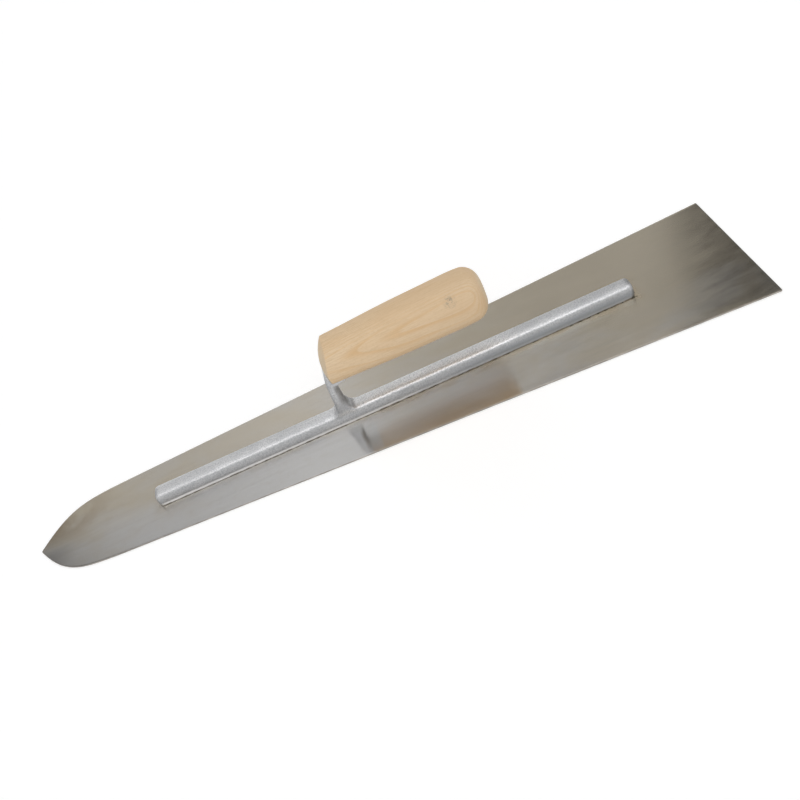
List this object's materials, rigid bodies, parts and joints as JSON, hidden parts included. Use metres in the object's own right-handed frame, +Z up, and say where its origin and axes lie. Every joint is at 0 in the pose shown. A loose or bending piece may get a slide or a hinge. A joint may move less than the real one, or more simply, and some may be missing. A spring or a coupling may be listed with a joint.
{
  "type": "concrete finishing trowel",
  "caption": "Long pointed finishing trowel: tapered steel blade riveted to a cast bar, with a raised post and a wooden handle.",
  "frame": {"origin": "on the sole, midway along the blade's length and on its centre line", "axes": "+X from the pointed toe towards the square heel, +Y across the blade, +Z up from the sole to the handle"},
  "size_m": [0.6, 0.1298, 0.0832],
  "materials": {
    "blade_steel": "satin rolled spring steel, lightly tarnished",
    "cast_alloy": "as cast, tumbled",
    "rivet_steel": "ground flush with the sole",
    "tang_steel": "turned",
    "handle_wood": "plain sanded beech, no varnish"
  },
  "bodies": {
    "root": {"blade": "blade_steel", "mounting": "cast_alloy", "blade_rivets": "rivet_steel", "tang": "tang_steel", "handle": "handle_wood"}
  },
  "joints": []
}
